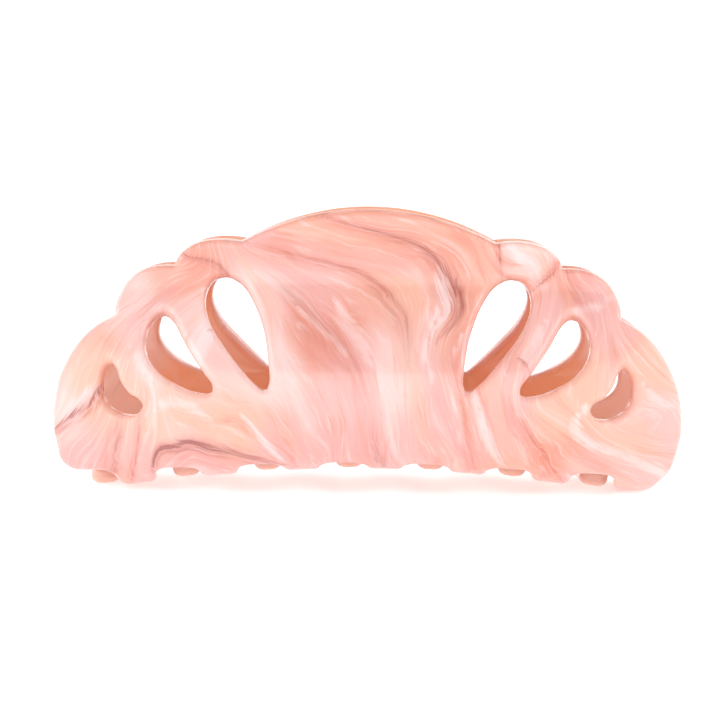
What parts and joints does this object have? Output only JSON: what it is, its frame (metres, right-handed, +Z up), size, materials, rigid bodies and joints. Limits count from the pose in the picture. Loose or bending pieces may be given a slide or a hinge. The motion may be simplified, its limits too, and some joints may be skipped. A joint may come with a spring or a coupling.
{
  "type": "hair claw clip",
  "caption": "Large arched hair claw clip: two interlocking toothed jaws with cut-outs, hinged on a sprung pin and opened by pinching the finger tabs.",
  "frame": {"origin": "middle of the footprint, level with the undersides of the end teeth", "axes": "+X along the hinge pin, front jaw on the -Y side, +Z up through the finger tabs"},
  "size_m": [0.1104, 0.043, 0.0496],
  "materials": {
    "marbled_acetate": "polished marbled cellulose acetate, peach pink with white and brown veins",
    "polished_steel": "polished stainless steel"
  },
  "bodies": {
    "rear_half": {"rear_jaw": "marbled_acetate", "rear_outer_lug": "marbled_acetate", "rear_inner_lug": "marbled_acetate", "hinge_pin": "polished_steel", "pin_end_cap": "polished_steel", "torsion_spring": "polished_steel"},
    "front_half": {"front_jaw": "marbled_acetate", "front_outer_lug": "marbled_acetate", "front_inner_lug": "marbled_acetate"}
  },
  "joints": [
    {"name": "jaw_hinge", "type": "hinge", "parent": "rear_half", "child": "front_half", "pos_m": [0, 0, 0.0355], "axis": [-1, 0, 0], "range_deg": [0, 58], "stiffness_Nm_per_rad": 0.12, "springref_deg": -68.75, "deforming": ["torsion_spring"]}
  ]
}
